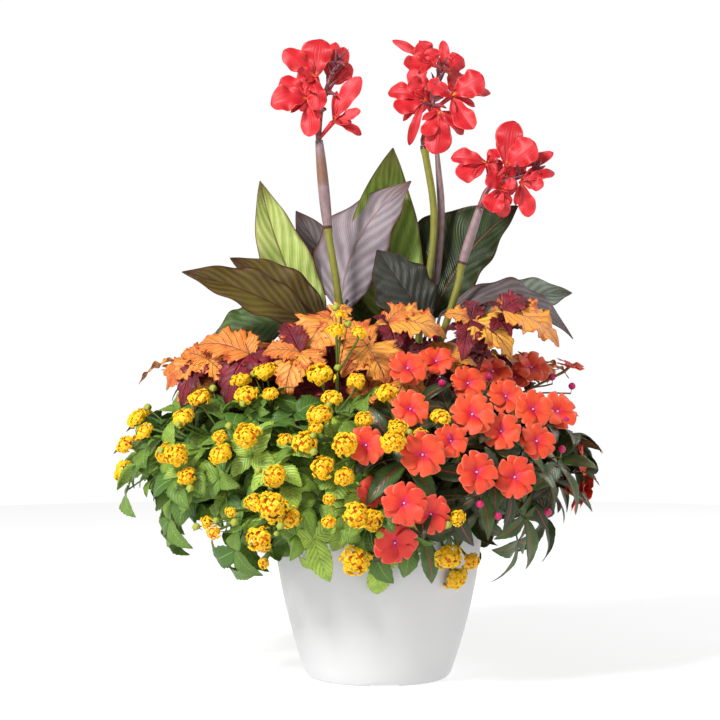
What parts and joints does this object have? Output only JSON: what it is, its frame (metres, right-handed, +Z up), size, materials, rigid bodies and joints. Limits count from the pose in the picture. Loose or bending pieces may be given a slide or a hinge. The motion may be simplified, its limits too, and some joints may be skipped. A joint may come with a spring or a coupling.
{
  "type": "potted mixed flower planter",
  "caption": "Round tapered pot of soil planted with tall red canna, copper coleus, yellow lantana and orange impatiens that spill over its rim.",
  "frame": {"origin": "centre of the pot's underside, on the surface that it stands on", "axes": "+Z up along the pot's axis, -Y towards the front of the planting, +X to its right"},
  "size_m": [0.8047, 0.6762, 1.0615],
  "materials": {
    "pot": "smooth white satin",
    "soil": "crumbly dark brown potting soil",
    "canna_stem": "green below, purple-brown leaf sheath above",
    "canna_bloom": "silky scarlet petals",
    "canna_leaf_green": "satin green with fine side veins",
    "canna_leaf_bronze": "satin dark green and bronze",
    "canna_leaf_purple": "dull grey purple",
    "coleus_leaf": "soft copper orange with red veins",
    "impatiens_bloom": "matte orange red with a pink eye",
    "impatiens_leaf": "satin dark green with a red midrib",
    "lantana_bloom": "matte yellow to orange florets",
    "lantana_leaf": "rough mid green"
  },
  "bodies": {
    "root": {"pot": "pot", "soil": "soil", "canna_bloom_1": "canna_bloom", "canna_bloom_2": "canna_bloom", "canna_bloom_3": "canna_bloom", "canna_stem_1": "canna_stem", "canna_stem_2": "canna_stem", "canna_stem_3": "canna_stem", "canna_leaf_01": "canna_leaf_green", "canna_leaf_02": "canna_leaf_purple", "canna_leaf_03": "canna_leaf_green", "canna_leaf_04": "canna_leaf_bronze", "canna_leaf_05": "canna_leaf_bronze", "canna_leaf_06": "canna_leaf_purple", "canna_leaf_07": "canna_leaf_green", "canna_leaf_08": "canna_leaf_bronze", "canna_leaf_09": "canna_leaf_bronze", "canna_leaf_10": "canna_leaf_green", "canna_leaf_11": "canna_leaf_purple", "canna_leaf_12": "canna_leaf_green", "coleus_plant_1": "coleus_leaf", "coleus_plant_2": "coleus_leaf", "coleus_plant_3": "coleus_leaf", "coleus_plant_4": "coleus_leaf", "coleus_plant_5": "coleus_leaf", "coleus_plant_6": "coleus_leaf", "impatiens_flowers_01": "impatiens_bloom", "impatiens_flowers_02": "impatiens_bloom", "impatiens_flowers_03": "impatiens_bloom", "impatiens_flowers_04": "impatiens_bloom", "impatiens_flowers_05": "impatiens_bloom", "impatiens_flowers_06": "impatiens_bloom", "impatiens_flowers_07": "impatiens_bloom", "impatiens_flowers_08": "impatiens_bloom", "impatiens_flowers_09": "impatiens_bloom", "impatiens_flowers_10": "impatiens_bloom", "impatiens_flowers_11": "impatiens_bloom", "impatiens_plant_1": "impatiens_leaf", "impatiens_plant_2": "impatiens_leaf", "impatiens_plant_3": "impatiens_leaf", "lantana_flowers_01": "lantana_bloom", "lantana_flowers_02": "lantana_bloom", "lantana_flowers_03": "lantana_bloom", "lantana_flowers_04": "lantana_bloom", "lantana_flowers_05": "lantana_bloom", "lantana_flowers_06": "lantana_bloom", "lantana_flowers_07": "lantana_bloom", "lantana_flowers_08": "lantana_bloom", "lantana_flowers_09": "lantana_bloom", "lantana_flowers_10": "lantana_bloom", "lantana_flowers_11": "lantana_bloom", "lantana_flowers_12": "lantana_bloom", "lantana_flowers_13": "lantana_bloom", "lantana_flowers_14": "lantana_bloom", "lantana_flowers_15": "lantana_bloom", "lantana_flowers_16": "lantana_bloom", "lantana_plant_1": "lantana_leaf", "lantana_plant_2": "lantana_leaf", "lantana_plant_3": "lantana_leaf", "lantana_plant_4": "lantana_leaf"}
  },
  "joints": []
}
